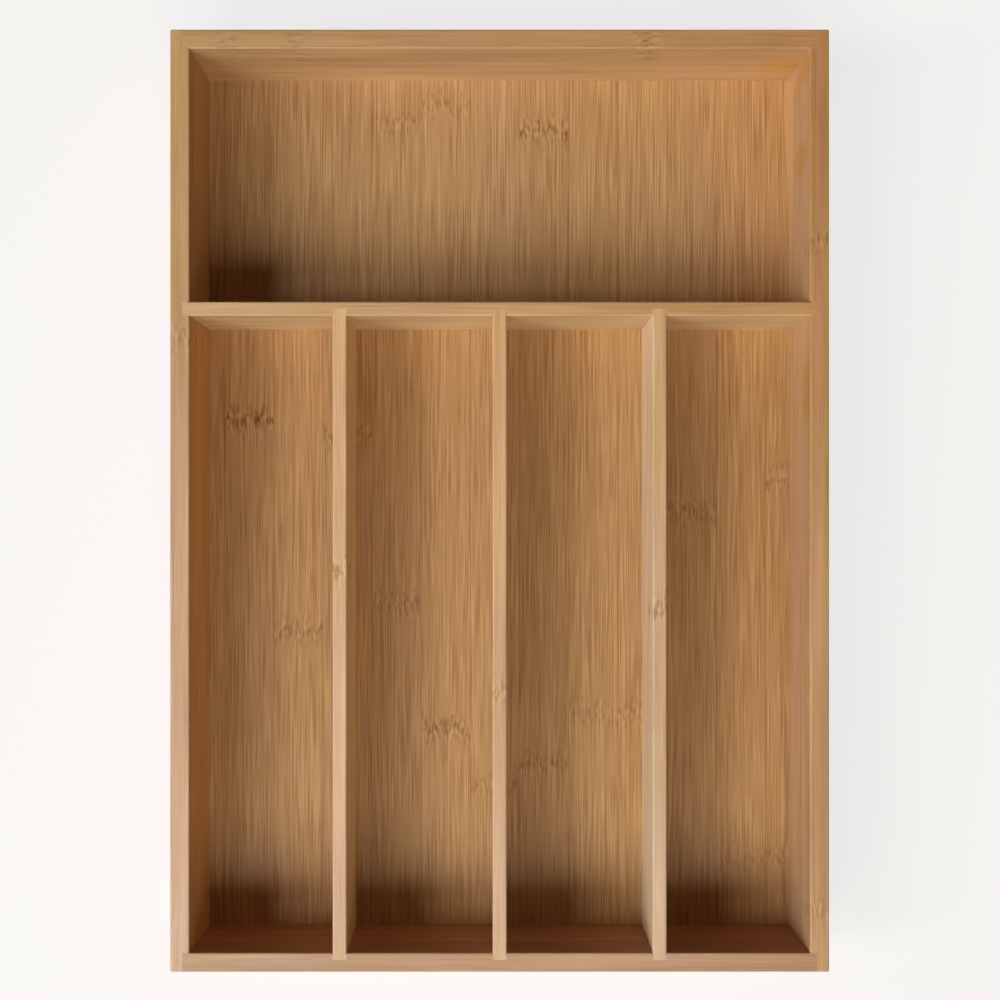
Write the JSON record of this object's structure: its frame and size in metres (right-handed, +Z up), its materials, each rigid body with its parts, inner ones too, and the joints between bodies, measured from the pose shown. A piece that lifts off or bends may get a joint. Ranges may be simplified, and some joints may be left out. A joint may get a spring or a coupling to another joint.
{
  "type": "cutlery tray",
  "caption": "Low rectangular bamboo tray with a wide compartment across the back and narrow parallel compartments running to the front, for sorting cutlery in a drawer.",
  "frame": {"origin": "middle of the footprint, on the surface that the tray stands on", "axes": "+X to the right across the tray, +Y to the back, where the wide compartment is, +Z up"},
  "size_m": [0.25, 0.3574, 0.05],
  "materials": {
    "bamboo_boards": "satin",
    "bamboo_floor": "satin"
  },
  "bodies": {
    "root": {"left_wall": "bamboo_boards", "right_wall": "bamboo_boards", "back_wall": "bamboo_boards", "front_wall": "bamboo_boards", "cross_divider": "bamboo_boards", "long_divider_left": "bamboo_boards", "long_divider_middle": "bamboo_boards", "long_divider_right": "bamboo_boards", "floor_strip_01": "bamboo_floor", "floor_strip_02": "bamboo_floor", "floor_strip_03": "bamboo_floor", "floor_strip_04": "bamboo_floor", "floor_strip_05": "bamboo_floor", "floor_strip_06": "bamboo_floor", "floor_strip_07": "bamboo_floor", "floor_strip_08": "bamboo_floor", "floor_strip_09": "bamboo_floor", "floor_strip_10": "bamboo_floor", "floor_strip_11": "bamboo_floor", "floor_strip_12": "bamboo_floor", "floor_strip_13": "bamboo_floor"}
  },
  "joints": []
}
